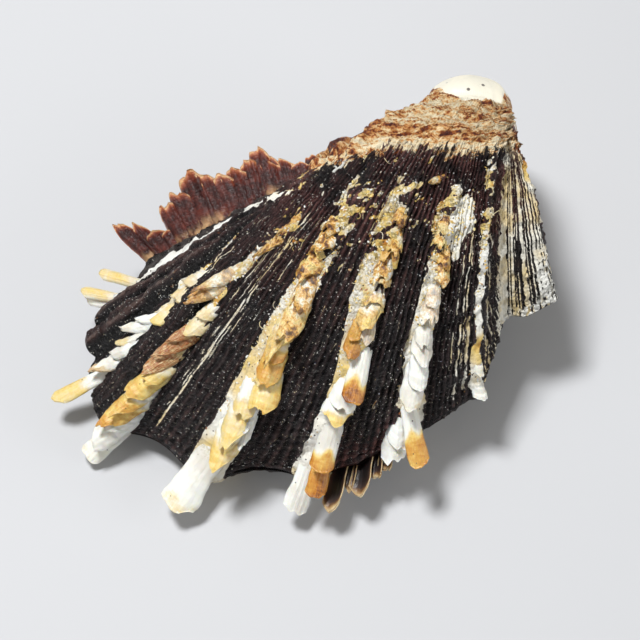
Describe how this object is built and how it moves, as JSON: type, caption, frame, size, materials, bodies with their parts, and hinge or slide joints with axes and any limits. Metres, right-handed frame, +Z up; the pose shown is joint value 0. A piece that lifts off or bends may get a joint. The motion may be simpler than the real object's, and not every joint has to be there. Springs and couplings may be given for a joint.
{
  "type": "spiny oyster shell",
  "caption": "Closed pair of ribbed, fan-shaped shell valves with spatulate spines, leafy side frills, a worn round umbo and a flat scar beneath to rest on.",
  "frame": {"origin": "centre of the footprint, on the surface that the flat scar rests on", "axes": "+Y from the spined margin towards the umbo, +Z up, out of the scar"},
  "size_m": [0.0695, 0.0938, 0.0446],
  "materials": {
    "upper_shell": "dark purple-brown bands between white and amber spiny ribs, rust-brown towards a chalk-white umbo",
    "lower_shell": "brown and cream, matt, with a chalky flat scar"
  },
  "bodies": {
    "root": {"upper_valve": "upper_shell", "lower_valve": "lower_shell"}
  },
  "joints": []
}
